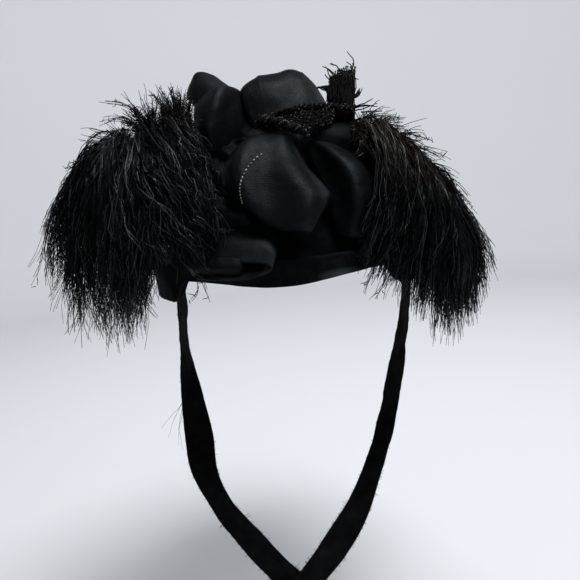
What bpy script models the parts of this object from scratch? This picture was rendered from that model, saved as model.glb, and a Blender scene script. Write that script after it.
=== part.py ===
"""A small velvet bonnet trimmed with satin ribbon loops, beaded jet braid, a lace aigrette and two
ostrich plumes, with velvet ribbon ties that close in one loop under the chin.

Front is -Y, up is +Z.  The origin is the inside top of the crown, where the bonnet sits on the head.
Lengths in the tables are millimetres and become metres as the meshes are made.
"""

import math

import bmesh
import bpy
from mathutils import Vector

MM = 0.001

# Driving dimensions, in millimetres
HEAD_HALF_WIDTH = 82.0       # inside of the crown at its edge
HEAD_HALF_LENGTH = 92.0
CROWN_WALL = 2.4
CROWN_SQUARENESS = 2.3       # 2 is an ellipse, more is a fuller shoulder
FRONT_DROP = 52.0            # the edge's depth below the crown's inside top, at the middle of the forehead
TEMPLE_DROP = 47.5           # where the edge is highest, over the temples
TAB_DROP = 68.0              # the tabs over the ears
BACK_DROP = 54.0
EDGE_REVEAL = 1.5            # how far the brim's edge stands below the crown's
BRIM_HEIGHT = 14.0
BRIM_WALL = 2.6
BRIM_CLEARANCE = 0.8         # from the crown's edge to the brim's inner face
BRIM_LEAN = 6.0              # how far the brim's top edge leans out in front
BRIM_END_ANGLE = 112.0       # degrees from the front to each end of the brim
SEAT_GAP = 0.5               # between the crown and what is seated on it
PLUME_ROOM = (9.0, 13.0, 3.0)        # width, length and height that the plumes leave free round the crown
PLUME_ROOM_SQUARENESS = 4.0
RIBBON_WALL = 1.2
TIE_WALL = 1.0
TIE_WIDTH = 20.0


def clear_scene():
    for item in list(bpy.data.objects):
        bpy.data.objects.remove(item, do_unlink=True)


def make_collection(name):
    collection = bpy.data.collections.new(name)
    bpy.context.scene.collection.children.link(collection)
    return collection


def make_material(name, colour, roughness):
    material = bpy.data.materials.new(name)
    material.use_nodes = True
    shader = material.node_tree.nodes["Principled BSDF"]
    shader.inputs["Base Color"].default_value = (*colour, 1.0)
    shader.inputs["Roughness"].default_value = roughness
    shader.inputs["Metallic"].default_value = 0.0
    return material


def place_mesh(name, bm, collection, material):
    """Scale a bmesh from millimetres to metres and make it a smooth-shaded object."""
    bmesh.ops.scale(bm, vec=(MM, MM, MM), verts=bm.verts)
    mesh = bpy.data.meshes.new(name)
    bm.to_mesh(mesh)
    bm.free()
    mesh.shade_smooth()
    piece = bpy.data.objects.new(name, mesh)
    collection.objects.link(piece)
    if material:
        mesh.materials.append(material)
    return piece


def add_wall(piece, thickness, offset):
    """Give an open surface its thickness: offset -1 is inwards, 0 is both ways."""
    wall = piece.modifiers.new("wall", "SOLIDIFY")
    wall.thickness = thickness * MM
    wall.offset = offset
    return wall


def through(points, t):
    """The point at t, from 0 to 1, on a smooth curve through the points."""
    spans = len(points) - 1
    place = min(max(t, 0.0), 1.0) * spans
    i = min(int(place), spans - 1)
    s = place - i
    p1, p2 = Vector(points[i]), Vector(points[i + 1])
    p0 = Vector(points[i - 1]) if i > 0 else 2 * p1 - p2
    p3 = Vector(points[i + 2]) if i + 2 <= spans else 2 * p2 - p1
    return 0.5 * (2 * p1 + (p2 - p0) * s + (2 * p0 - 5 * p1 + 4 * p2 - p3) * s * s
                  + (3 * p1 - p0 - 3 * p2 + p3) * s * s * s)


def smoothstep(low, high, value):
    t = min(max((value - low) / (high - low), 0.0), 1.0)
    return t * t * (3 - 2 * t)


def edge_drop(angle):
    """Depth of the bonnet's lower edge at an angle in degrees from the front, the same on both sides."""
    angle = abs(angle)
    dip = 0.5 * (1 + math.cos(math.radians(min(angle, 36.0) * 5)))
    front = TEMPLE_DROP + (FRONT_DROP - TEMPLE_DROP) * dip
    drop = front + (TAB_DROP - front) * smoothstep(41.0, 51.0, angle)
    return drop + (BACK_DROP - TAB_DROP) * smoothstep(102.0, 128.0, angle)


def dome(extra, reveal, skirt, squareness):
    """A squared dome, larger than the head by extra (width, length, height).  Below the equator it has a
    straight skirt, or ends in an open edge."""
    bm = bmesh.new()
    bmesh.ops.create_uvsphere(bm, u_segments=56, v_segments=20, radius=1.0)
    if not skirt:
        everything = bm.verts[:] + bm.edges[:] + bm.faces[:]
        bmesh.ops.bisect_plane(bm, geom=everything, plane_co=(0, 0, 0), plane_no=(0, 0, 1), clear_inner=True)
    for vertex in bm.verts:
        across = math.hypot(vertex.co.x, vertex.co.y)
        turn = math.atan2(vertex.co.x, -vertex.co.y) if across > 1e-6 else 0.0
        tilt = math.acos(min(max(vertex.co.z, -1.0), 1.0))
        depth = edge_drop(math.degrees(turn)) - reveal + extra[2]
        if vertex.co.z > -1e-4:
            spread = math.sin(tilt) ** (2 / squareness)
            fall = 1 - abs(math.cos(tilt)) ** (2 / squareness)
            height = extra[2] - depth * fall
        else:
            spread = min(1.0, 3 * math.sin(tilt))
            height = extra[2] - depth - skirt * min(1.0, -2 * vertex.co.z)
        vertex.co.x = (HEAD_HALF_WIDTH + extra[0]) * spread * math.sin(turn)
        vertex.co.y = -(HEAD_HALF_LENGTH + extra[1]) * spread * math.cos(turn)
        vertex.co.z = height
    return bm


def make_crown(collection, material):
    """The hollow velvet crown: an open dome with its wall added inwards."""
    outside = dome((CROWN_WALL, CROWN_WALL, CROWN_WALL), EDGE_REVEAL, 0.0, CROWN_SQUARENESS)
    add_wall(place_mesh("crown", outside, collection, material), CROWN_WALL, -1.0)


def make_cutter(name, extra, squareness, collection):
    """A closed form round the crown that clears the room inside it."""
    outside = tuple(CROWN_WALL + margin for margin in extra)
    cutter = place_mesh(name, dome(outside, 0.0, 60.0, squareness), collection, None)
    cutter.hide_render = True
    cutter.display_type = "WIRE"
    return cutter


def brim_point(angle, rise):
    """A point of the brim's middle surface: angle in degrees from the front, rise 0 at its lower edge."""
    turn = math.radians(angle)
    in_front = max(math.cos(turn), 0.0)
    lean = BRIM_LEAN * in_front * rise
    gap = CROWN_WALL + BRIM_CLEARANCE + 0.5 * BRIM_WALL
    ends = smoothstep(BRIM_END_ANGLE, BRIM_END_ANGLE - 12.0, abs(angle))
    low = -edge_drop(angle)
    high = -edge_drop(0.0) + BRIM_HEIGHT + 1.0 - 4.0 * (1 - ends)
    low += 6.0 * (1 - ends)
    return Vector(((HEAD_HALF_WIDTH + gap + lean) * math.sin(turn),
                   -(HEAD_HALF_LENGTH + gap + lean) * math.cos(turn),
                   low + (high - low) * rise))


def make_brim(collection, material):
    """The turned-up band: a strip round the front and sides whose ends are rounded off."""
    bm = bmesh.new()
    bmesh.ops.create_grid(bm, x_segments=64, y_segments=3, size=1.0)
    for vertex in bm.verts:
        vertex.co = brim_point(vertex.co.x * BRIM_END_ANGLE, 0.5 * (vertex.co.y + 1))
    brim = place_mesh("brim", bm, collection, material)
    add_wall(brim, BRIM_WALL, 0.0)


def make_sheet(name, stations, along, across, thickness, collection, material):
    """A ribbon: stations run along it, and each is a row of points from one edge to the other."""
    bm = bmesh.new()
    bmesh.ops.create_grid(bm, x_segments=across, y_segments=along, size=1.0)
    for vertex in bm.verts:
        side, way = 0.5 * (vertex.co.x + 1), 0.5 * (vertex.co.y + 1)
        vertex.co = through([through(row, side) for row in stations], way)
    sheet = place_mesh(name, bm, collection, material)
    add_wall(sheet, thickness, 0.0)
    return sheet


# Ribbon loops.  Each row crosses the ribbon from edge to edge, and the rows run from root to root.
LOOP_LEFT = [
    [(-41, -66, 23), (-31, -72, 24), (-20, -66, 24)],
    [(-42, -63, 36), (-32, -70, 37), (-15, -60, 38)],
    [(-42, -62, 49), (-30, -67, 51), (-14, -56, 50)],
    [(-35, -59, 60), (-26, -60, 62), (-17, -54, 57)],
    [(-38, -52, 69), (-29, -52, 67), (-19, -48, 60)],
    [(-47, -44, 66), (-36, -42, 63), (-23, -40, 56)],
    [(-47, -38, 52), (-35, -34, 48), (-22, -35, 44)],
    [(-40, -36, 26), (-30, -32, 26), (-20, -34, 26)],
    [(-34, -40, 9), (-26, -38, 10), (-18, -38, 11)],
]
LOOP_TOP = [
    [(-9, -61, 26), (-8, -48, 26), (-7, -34, 22)],
    [(-11, -62, 36), (-13, -49, 44), (-12, -34, 44)],
    [(-9, -64, 37), (-14, -51, 55), (-12, -36, 58)],
    [(-2, -66, 38), (-5, -54, 58), (-4, -38, 66)],
    [(9, -65, 43), (9, -54, 59), (12, -39, 67)],
    [(20, -62, 48), (20, -52, 58), (22, -38, 61)],
    [(30, -57, 45), (31, -48, 51), (31, -36, 51)],
    [(30, -54, 34), (33, -46, 36), (33, -36, 35)],
    [(25, -54, 24), (27, -46, 23), (28, -37, 19)],
]
LOOP_FRONT = [
    [(-5, -73, 28), (4, -76, 31), (14, -74, 27)],
    [(-20, -84, 24), (0, -94, 28), (17, -88, 20)],
    [(-28, -91, 14), (-3, -110, 17), (23, -100, 9)],
    [(-29, -95, 3), (-2, -116, 0), (31, -103, -4)],
    [(-20, -99, -7), (-3, -113, -15), (26, -106, -14)],
    [(-12, -96, -10), (0, -103, -20), (17, -103, -24)],
    [(-12, -90, -5), (2, -93, -10), (16, -94, -12)],
    [(-10, -84, 6), (2, -86, 6), (14, -86, 4)],
    [(-6, -76, 20), (3, -78, 21), (12, -77, 19)],
]
LOOP_RIGHT = [
    [(19, -71, 23), (25, -71, 24), (31, -67, 22)],
    [(26, -83, 13), (34, -89, 15), (43, -79, 14)],
    [(32, -90, 0), (42, -98, 0), (51, -84, 2)],
    [(33, -93, -14), (43, -100, -15), (52, -84, -12)],
    [(31, -91, -24), (41, -96, -26), (52, -81, -24)],
    [(30, -84, -24), (39, -86, -27), (49, -74, -25)],
    [(28, -81, -12), (38, -81, -12), (47, -71, -12)],
    [(24, -77, 4), (34, -77, 5), (42, -69, 5)],
    [(20, -70, 17), (26, -71, 18), (33, -65, 17)],
]
LOOP_RIGHT_UPPER = [
    [(22, -70, 29), (24, -64, 33), (24, -57, 31)],
    [(32, -74, 30), (33, -66, 36), (33, -56, 35)],
    [(42, -72, 28), (42, -64, 34), (41, -54, 32)],
    [(46, -68, 22), (48, -61, 25), (46, -52, 23)],
    [(43, -64, 17), (44, -58, 17), (42, -51, 15)],
    [(35, -62, 19), (36, -56, 19), (35, -50, 15)],
]
FOLD_LEFT = [
    [(-17, -88, -7), (-17, -90, -13), (-16, -89, -17)],
    [(-28, -90, -2), (-28, -93, -9), (-28, -92, -16)],
    [(-39, -86, 2), (-40, -89, -7), (-40, -89, -15)],
    [(-44, -80, 3), (-46, -82, -6), (-46, -82, -14)],
    [(-42, -75, 2), (-43, -77, -6), (-43, -78, -13)],
    [(-30, -78, -1), (-30, -81, -8), (-30, -83, -14)],
]
LOOP_LOW_LEFT = [
    [(-46, -100, -28), (-45, -92, -21), (-44, -85, -18)],
    [(-34, -108, -29), (-33, -99, -21), (-31, -89, -19)],
    [(-20, -113, -31), (-18, -105, -22), (-17, -96, -21)],
    [(-9, -115, -33), (-6, -110, -27), (-5, -104, -25)],
    [(-6, -116, -37), (-3, -113, -35), (-2, -109, -33)],
    [(-9, -117, -41), (-8, -114, -41), (-8, -110, -39)],
    [(-21, -114, -43), (-21, -110, -42), (-21, -107, -39)],
    [(-34, -109, -43), (-34, -106, -42), (-34, -103, -39)],
    [(-46, -102, -42), (-46, -99, -41), (-45, -96, -38)],
]
RIBBONS = {
    "loop_left": LOOP_LEFT,
    "loop_top": LOOP_TOP,
    "loop_front": LOOP_FRONT,
    "loop_right": LOOP_RIGHT,
    "loop_right_upper": LOOP_RIGHT_UPPER,
    "fold_left": FOLD_LEFT,
    "loop_low_left": LOOP_LOW_LEFT,
}


def make_ribbons(collection, material):
    for name, stations in RIBBONS.items():
        make_sheet(name, stations, 3 * (len(stations) - 1), 6, RIBBON_WALL, collection, material)


def rounded_form(rings, segments, rows):
    """A closed soft form: rings of (z, centre x, centre y, half width, half depth) from top to bottom."""
    bm = bmesh.new()
    bmesh.ops.create_uvsphere(bm, u_segments=segments, v_segments=rows, radius=1.0)
    for vertex in bm.verts:
        turn = math.atan2(vertex.co.y, vertex.co.x)
        down = math.acos(min(max(vertex.co.z, -1.0), 1.0)) / math.pi
        centre = through([ring[:3] for ring in rings], down)
        half = through([(ring[3], ring[4], 0) for ring in rings], down)
        pole = down < 1e-4 or down > 1 - 1e-4
        width, depth = (0.0, 0.0) if pole else (max(half.x, 0.5), max(half.y, 0.5))
        vertex.co = Vector((centre.y + width * math.cos(turn), centre.z + depth * math.sin(turn), centre.x))
    return bm


def cut_away(piece, cutter):
    cut = piece.modifiers.new("clear_of_head", "BOOLEAN")
    cut.operation = "DIFFERENCE"
    cut.object = cutter


PLUME_LEFT = [
    (56, -68, -48, 0, 0),
    (49, -69, -50, 13, 11),
    (37, -73, -54, 23, 20),
    (24, -82, -60, 33, 29),
    (8, -88, -64, 40, 35),
    (-20, -94, -67, 47, 39),
    (-44, -96, -67, 49, 39),
    (-58, -101, -65, 38, 33),
    (-71, -108, -62, 20, 22),
    (-80, -113, -60, 0, 0),
]
PLUME_RIGHT = [
    (43, 60, -44, 0, 0),
    (38, 61, -46, 8, 7),
    (28, 63, -50, 10, 11),
    (13, 68, -57, 15, 18),
    (-2, 73, -62, 20, 26),
    (-22, 79, -66, 26, 32),
    (-45, 84, -67, 30, 35),
    (-62, 91, -65, 25, 30),
    (-78, 96, -61, 16, 20),
    (-88, 98, -60, 0, 0),
]


def make_plumes(collection, material, room):
    """The outer form of each drooping plume, hollowed where it wraps the crown."""
    for name, rings in (("plume_left", PLUME_LEFT), ("plume_right", PLUME_RIGHT)):
        plume = place_mesh(name, rounded_form(rings, 24, 16), collection, material)
        cut_away(plume, room)


BOW_CENTRE = [
    (19, 4, -58, 0, 0),
    (17, 4, -58, 12, 6),
    (10, 4, -57, 26, 13),
    (0, 4, -54, 33, 16),
    (-14, 4, -50, 35, 18),
    (-22, 4, -50, 0, 0),
]


def make_bow_centre(collection, material, seat):
    """The gathered satin under the loops, seated on the crown."""
    cut_away(place_mesh("bow_centre", rounded_form(BOW_CENTRE, 20, 12), collection, material), seat)


JET_BRAID_UPPER = [(-1, -77, 40), (9, -79, 42), (20, -77, 45), (34, -71, 46), (47, -63, 45)]
JET_BRAID_LOWER = [(-7, -79, 38), (1, -84, 36), (10, -87, 32), (19, -85, 28)]


def make_braid(name, points, radius, collection, material):
    """A braid as a tube with closed ends along a smooth route."""
    curve = bpy.data.curves.new(name, "CURVE")
    curve.dimensions = "3D"
    curve.bevel_depth = radius * MM
    curve.bevel_resolution = 2
    curve.use_fill_caps = True
    spline = curve.splines.new("POLY")
    count = 12
    spline.points.add(count)
    for i, point in enumerate(spline.points):
        point.co = (*(through(points, i / count) * MM), 1.0)
    curve.materials.append(material)
    collection.objects.link(bpy.data.objects.new(name, curve))


JET_LACE = [
    [(5, -81, 37.5), (12, -82, 35.5), (17, -82, 33)],
    [(15, -80.5, 39), (19, -81, 36), (23, -80, 32)],
    [(26, -77, 40.5), (28, -77, 37), (30, -76, 33)],
    [(36, -71.5, 41), (37, -72, 38), (37, -72, 35)],
]
AIGRETTE = [
    [(33, -66, 49), (40, -64, 49.5), (48, -61, 49)],
    [(32, -63, 53), (40, -61, 54), (48, -57, 53)],
    [(31, -60, 58), (40, -57, 59), (50, -54, 58)],
    [(34, -58, 65), (42, -54, 66), (51, -52, 65)],
    [(37, -57, 71), (43, -54, 72), (50, -52, 71)],
]


def tie_rows(path):
    """Rows across a ribbon from its centre points and the way its width runs at each."""
    rows = []
    for centre, across, share in path:
        half = Vector(across).normalized() * 0.5 * TIE_WIDTH * share
        centre = Vector(centre)
        rows.append([centre - half, centre, centre + half])
    return rows


# Ties: centre, direction of the ribbon's width, and the share of the width that lies open
TIE_LEFT = [
    ((-78.2, 14, -56), (0.14, 1, 0), 1.0),
    ((-78.8, 14, -76), (0.14, 1, 0), 1.0),
    ((-79, 9, -105), (0.1, 1, 0), 1.0),
    ((-75, -5, -136), (0.6, 0.8, 0.1), 0.95),
    ((-69, -19, -161), (1, 0.35, 0.1), 0.92),
    ((-64, -32, -181), (1, 0.2, 0.1), 0.78),
    ((-56, -42, -200), (0.85, 0, 0.5), 0.7),
    ((-42, -50, -216), (0.72, -0.1, 0.68), 0.85),
    ((-27, -56, -233), (0.68, -0.1, 0.72), 0.9),
    ((-12, -60, -247), (0.6, 0, 0.8), 0.85),
    ((3, -60, -255), (0.4, 0, 0.9), 0.8),
]
TIE_RIGHT = [
    ((78.2, 14, -56), (-0.14, 1, 0), 1.0),
    ((78.6, 15, -76), (-0.14, 1, 0), 1.0),
    ((74, 14, -104), (-0.2, 1, 0), 1.0),
    ((65, 4, -136), (-0.4, 0.9, 0), 0.95),
    ((54, -16, -166), (-0.5, 0.8, 0.1), 0.8),
    ((42, -34, -188), (-0.8, 0.5, 0.3), 0.65),
    ((32, -45, -205), (-0.8, 0.3, 0.5), 0.75),
    ((20, -53, -220), (-0.7, 0.1, 0.7), 0.9),
    ((6, -59, -235), (-0.68, 0, 0.72), 0.85),
    ((-9, -63.5, -249), (-0.6, 0, 0.8), 0.8),
    ((-25, -64, -258), (-0.4, 0, 0.9), 0.8),
]


def make_trimmings(collection, jet, lace):
    make_braid("jet_braid_upper", JET_BRAID_UPPER, 2.4, collection, jet)
    make_braid("jet_braid_lower", JET_BRAID_LOWER, 3.0, collection, jet)
    make_sheet("jet_lace", JET_LACE, 6, 4, RIBBON_WALL, collection, lace)
    make_sheet("aigrette", AIGRETTE, 10, 6, 1.6, collection, lace)


def make_ties(collection, material):
    for name, path in (("tie_left", TIE_LEFT), ("tie_right", TIE_RIGHT)):
        make_sheet(name, tie_rows(path), 30, 2, TIE_WALL, collection, material)


def main():
    clear_scene()
    bonnet = make_collection("bonnet")
    cutters = make_collection("cutters")
    velvet = make_material("silk_velvet", (0.006, 0.007, 0.008), 0.85)
    satin = make_material("satin_ribbon", (0.012, 0.014, 0.016), 0.4)
    feather = make_material("ostrich_feather", (0.012, 0.010, 0.009), 0.6)
    jet = make_material("jet_beads", (0.015, 0.014, 0.016), 0.15)
    lace = make_material("jet_lace", (0.02, 0.018, 0.018), 0.5)
    velvet_ribbon = make_material("velvet_ribbon", (0.007, 0.008, 0.009), 0.8)
    make_crown(bonnet, velvet)
    make_brim(bonnet, velvet)
    seat = make_cutter("crown_seat", (SEAT_GAP, SEAT_GAP, SEAT_GAP), CROWN_SQUARENESS, cutters)
    room = make_cutter("plume_room", PLUME_ROOM, PLUME_ROOM_SQUARENESS, cutters)
    make_ribbons(bonnet, satin)
    make_bow_centre(bonnet, satin, seat)
    make_trimmings(bonnet, jet, lace)
    make_plumes(bonnet, feather, room)
    make_ties(bonnet, velvet_ribbon)


main()
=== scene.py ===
"""A small velvet bonnet with satin ribbon loops, jet braid, a lace aigrette, two ostrich plumes and
velvet ties.  The front is -Y and up is +Z.  Tables are in millimetres, meshes in metres."""

import math

import bmesh
import bpy
import numpy as np
from mathutils import Euler, Matrix, Vector, noise


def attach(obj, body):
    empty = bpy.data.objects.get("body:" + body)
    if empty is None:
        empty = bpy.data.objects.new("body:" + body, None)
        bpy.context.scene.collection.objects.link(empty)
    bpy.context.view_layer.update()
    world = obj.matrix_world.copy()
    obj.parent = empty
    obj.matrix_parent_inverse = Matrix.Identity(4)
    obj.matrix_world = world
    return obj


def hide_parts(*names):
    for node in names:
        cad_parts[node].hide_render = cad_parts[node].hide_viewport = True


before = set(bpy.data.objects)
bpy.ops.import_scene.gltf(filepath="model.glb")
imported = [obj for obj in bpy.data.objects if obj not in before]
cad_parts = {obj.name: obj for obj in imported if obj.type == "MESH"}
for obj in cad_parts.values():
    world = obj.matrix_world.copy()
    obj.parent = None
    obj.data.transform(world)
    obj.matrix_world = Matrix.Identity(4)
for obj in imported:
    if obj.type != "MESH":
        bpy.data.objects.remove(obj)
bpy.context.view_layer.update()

MM = 0.001
SEED = 7

# The crown and brim, as the frame has them
HEAD_HALF_WIDTH, HEAD_HALF_LENGTH = 82.0, 92.0
CROWN_WALL = 2.4
CROWN_SQUARENESS = 2.3
FRONT_DROP, TEMPLE_DROP, TAB_DROP, BACK_DROP = 52.0, 47.5, 61.0, 54.0
# The edge dips in the middle of the front, rises to the temples, drops to the ear tabs and rises to the
# back.  These angles, in degrees from the front, are where each stretch starts and ends.
TEMPLE_ANGLE = 36.0
TAB_ANGLES = (41.0, 51.0)
BACK_ANGLES = (102.0, 128.0)
EDGE_REVEAL = 1.5
BRIM_LENGTH, BRIM_HEIGHT, BRIM_WALL, BRIM_CLEARANCE, BRIM_LEAN = 360.0, 14.0, 2.6, 0.8, 6.0
BRIM_END_ANGLE = 112.0
# The band narrows over its last degrees: how far its lower edge rises and its upper edge falls
BRIM_TAPER_ANGLE, BRIM_TAPER_LOW, BRIM_TAPER_HIGH = 12.0, 6.0, 4.0
SATIN_WALL = 0.5
TIE_WIDTH, TIE_WALL = 20.0, 0.7


# ---------------------------------------------------------------- colours and materials

def linear(code):
    """A hex sRGB colour as linear red, green, blue and alpha."""
    channels = [int(code[i:i + 2], 16) / 255 for i in (1, 3, 5)]
    return [c / 12.92 if c <= 0.04045 else ((c + 0.055) / 1.055) ** 2.4 for c in channels] + [1.0]


def add(tree, kind, inputs=None, **settings):
    """Add a shader node with its settings, and link or set its inputs."""
    node = tree.nodes.new("ShaderNode" + kind)
    for key, value in settings.items():
        setattr(node, key, value)
    for key, value in (inputs or {}).items():
        if isinstance(value, bpy.types.NodeSocket):
            tree.links.new(value, node.inputs[key])
        else:
            node.inputs[key].default_value = value
    return node


def start_material(name, **values):
    """A new material with its Principled shader's own values set."""
    material = bpy.data.materials.new(name)
    material.use_nodes = True
    tree = material.node_tree
    shader = tree.nodes["Principled BSDF"]
    for key, value in values.items():
        shader.inputs[key.replace("_", " ")].default_value = value
    return material, tree, shader


def ramp(tree, factor, stops):
    """A colour ramp: stops are (place, hex colour)."""
    node = add(tree, "ValToRGB", {"Fac": factor})
    band = node.color_ramp
    band.elements[0].position, band.elements[0].color = stops[0][0], linear(stops[0][1])
    band.elements[1].position, band.elements[1].color = stops[-1][0], linear(stops[-1][1])
    for place, code in stops[1:-1]:
        band.elements.new(place).color = linear(code)
    return node.outputs["Color"]


def silk_velvet():
    # Silk velvet: an upright pile that swallows light face on and shows a grey bloom at grazing angles
    material, tree, shader = start_material(
        "black_silk_velvet", Roughness=0.95, Specular_IOR_Level=0.04, Sheen_Weight=0.12, Sheen_Roughness=0.35)
    shader.inputs["Sheen Tint"].default_value = linear("#5b6166")
    place = add(tree, "TexCoord").outputs["Object"]
    # the pile lies in patches a few millimetres across where it was brushed and pressed
    brushed = add(tree, "TexNoise", {"Vector": place, "Scale": 90.0, "Detail": 4.0, "Roughness": 0.6})
    pile = add(tree, "TexNoise", {"Vector": place, "Scale": 1500.0, "Detail": 2.0})
    tone = ramp(tree, brushed.outputs["Fac"], [(0.35, "#030304"), (0.55, "#07090a"), (0.7, "#101315")])
    # a rubbed patch at the front edge, where the pile has worn to the grey backing
    centre = add(tree, "Mapping", {"Vector": place, "Location": (-0.031, 0.094, 0.0485)}, vector_type="POINT")
    flat = add(tree, "Mapping", {"Vector": centre.outputs["Vector"], "Scale": (70.0, 60.0, 240.0)})
    ball = add(tree, "TexGradient", {"Vector": flat.outputs["Vector"]}, gradient_type="SPHERICAL")
    rubbed = add(tree, "MixRGB", {"Fac": ball.outputs["Fac"], "Color1": tone, "Color2": linear("#3a4040")})
    tree.links.new(rubbed.outputs["Color"], shader.inputs["Base Color"])
    bump = add(tree, "Bump", {"Height": pile.outputs["Fac"], "Strength": 0.5, "Distance": 0.0003})
    soft = add(tree, "Bump", {"Height": brushed.outputs["Fac"], "Strength": 0.4, "Distance": 0.0012,
                              "Normal": bump.outputs["Normal"]})
    tree.links.new(soft.outputs["Normal"], shader.inputs["Normal"])
    return material


def satin_ribbon(name, gloss):
    # Satin-faced silk ribbon: long floats along the ribbon give a broad soft gloss, with a fine cross rib
    material, tree, shader = start_material(name, Specular_IOR_Level=gloss, Anisotropic=0.3)
    shader.inputs["Specular Tint"].default_value = linear("#cfe0e8")
    surface = add(tree, "UVMap", uv_map="UVMap").outputs["UV"]
    place = add(tree, "TexCoord").outputs["Object"]
    # the map counts in centimetres; the rib is 0.45 mm, drawn at 0.9 mm so that it shows
    rib = add(tree, "TexWave", {"Vector": surface, "Scale": 3.6, "Distortion": 0.6, "Detail": 1.0},
              wave_type="BANDS", bands_direction="Y")
    slub = add(tree, "Mapping", {"Vector": surface, "Scale": (2.0, 26.0, 1.0)})
    floats = add(tree, "TexNoise", {"Vector": slub.outputs["Vector"], "Scale": 3.0, "Detail": 3.0})
    age = add(tree, "TexNoise", {"Vector": place, "Scale": 45.0, "Detail": 3.0})
    tone = ramp(tree, age.outputs["Fac"], [(0.3, "#020303"), (0.55, "#050607"), (0.8, "#0a0b0c")])
    tree.links.new(tone, shader.inputs["Base Color"])
    fine = add(tree, "Bump", {"Height": rib.outputs["Fac"], "Strength": 0.22, "Distance": 0.0002})
    grain = add(tree, "Bump", {"Height": floats.outputs["Fac"], "Strength": 0.4, "Distance": 0.0004,
                               "Normal": fine.outputs["Normal"]})
    # the weave's grain is 0.1 mm, drawn at 0.8 mm so that it shows
    weave = add(tree, "TexNoise", {"Vector": place, "Scale": 1250.0, "Detail": 1.0})
    dull = add(tree, "Bump", {"Height": weave.outputs["Fac"], "Strength": 0.35, "Distance": 0.0003,
                              "Normal": grain.outputs["Normal"]})
    tree.links.new(dull.outputs["Normal"], shader.inputs["Normal"])
    crush = add(tree, "TexNoise", {"Vector": place, "Scale": 160.0, "Detail": 4.0})
    worn = add(tree, "MapRange", {"Value": crush.outputs["Fac"], "From Min": 0.3, "From Max": 0.7,
                                  "To Min": 0.34, "To Max": 0.52})
    tree.links.new(worn.outputs["Result"], shader.inputs["Roughness"])
    return material


def ostrich_barb(name, shade, sheen):
    # Dyed ostrich barb: black and slightly glossy, faded to brown where the light reached the top
    material, tree, shader = start_material(name, Roughness=0.42, Specular_IOR_Level=sheen)
    shader.inputs["Specular Tint"].default_value = linear("#cfdde2")
    place = add(tree, "TexCoord").outputs["Object"]
    streak = add(tree, "TexNoise", {"Vector": place, "Scale": 420.0, "Detail": 2.0})
    tone = ramp(tree, streak.outputs["Fac"], [(0.35, "#010202"), (0.6, shade)])
    # the fading reaches further down on the wearer's left, so it is measured along a slanted line
    slant = add(tree, "VectorMath", {0: place, 1: (0.35, 0.0, 0.95)}, operation="DOT_PRODUCT")
    faded = add(tree, "MapRange", {"Value": slant.outputs["Value"], "From Min": 0.012, "From Max": 0.062,
                                   "To Max": 0.48})
    brown = add(tree, "MixRGB", {"Fac": faded.outputs["Result"], "Color1": tone, "Color2": linear("#2a2018")})
    tree.links.new(brown.outputs["Color"], shader.inputs["Base Color"])
    return material


def jet_bead():
    # Old jet-black glass bead: a small soft highlight, and brown where the black has worn
    material, tree, shader = start_material("black_glass_bead", Roughness=0.3, Specular_IOR_Level=0.25)
    place = add(tree, "TexCoord").outputs["Object"]
    spots = add(tree, "TexNoise", {"Vector": place, "Scale": 700.0})
    tone = ramp(tree, spots.outputs["Fac"], [(0.4, "#030303"), (0.62, "#0c0a0b"), (0.78, "#2a2320")])
    tree.links.new(tone, shader.inputs["Base Color"])
    return material


def lace_thread():
    # Silk lace thread: a dull black twist, a little brown
    material, tree, shader = start_material("black_lace_thread", Roughness=0.7, Specular_IOR_Level=0.07)
    place = add(tree, "TexCoord").outputs["Object"]
    twist = add(tree, "TexNoise", {"Vector": place, "Scale": 900.0, "Detail": 2.0})
    tone = ramp(tree, twist.outputs["Fac"], [(0.35, "#020202"), (0.62, "#060606"), (0.8, "#110e0d")])
    tree.links.new(tone, shader.inputs["Base Color"])
    return material


def velvet_ribbon():
    # Velvet ribbon: a short dull pile, patchy where it was pressed, with a slight grey bloom along its folds
    material, tree, shader = start_material(
        "black_velvet_ribbon", Roughness=0.9, Specular_IOR_Level=0.05, Sheen_Weight=0.1, Sheen_Roughness=0.35)
    shader.inputs["Sheen Tint"].default_value = linear("#50575c")
    place = add(tree, "TexCoord").outputs["Object"]
    brushed = add(tree, "TexNoise", {"Vector": place, "Scale": 160.0, "Detail": 4.0})
    tone = ramp(tree, brushed.outputs["Fac"], [(0.35, "#040405"), (0.6, "#08090a"), (0.8, "#101213")])
    tree.links.new(tone, shader.inputs["Base Color"])
    pile = add(tree, "TexNoise", {"Vector": place, "Scale": 1600.0})
    bump = add(tree, "Bump", {"Height": pile.outputs["Fac"], "Strength": 0.5, "Distance": 0.0003})
    tree.links.new(bump.outputs["Normal"], shader.inputs["Normal"])
    return material


def basting_thread():
    # Grey cotton thread of the old stitches that show on the front loop
    material, tree, shader = start_material("grey_cotton_thread", Roughness=0.8)
    shader.inputs["Base Color"].default_value = linear("#7a7c7e")
    return material


VELVET = silk_velvet()
SATIN = satin_ribbon("black_silk_satin", 0.1)
# a copy of the satin with much less gloss, so that it reads darker: painted shade for ribbon in the folds and
# gaps
SHADED_SATIN = satin_ribbon("black_silk_satin_painted_shade", 0.035)
BARBS = [
    ostrich_barb("black_ostrich_barb", "#020202", 0.05),
    ostrich_barb("worn_ostrich_barb", "#060607", 0.2),
    ostrich_barb("glossy_ostrich_barb", "#121314", 0.8),
]
BEAD = jet_bead()
LACE = lace_thread()
TIE_VELVET = velvet_ribbon()
THREAD = basting_thread()


# ---------------------------------------------------------------- shape helpers

def smoothstep(low, high, value):
    """0 at low and 1 at high, with an easy start and stop."""
    t = np.clip((value - low) / (high - low), 0.0, 1.0)
    return t * t * (3 - 2 * t)


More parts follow.
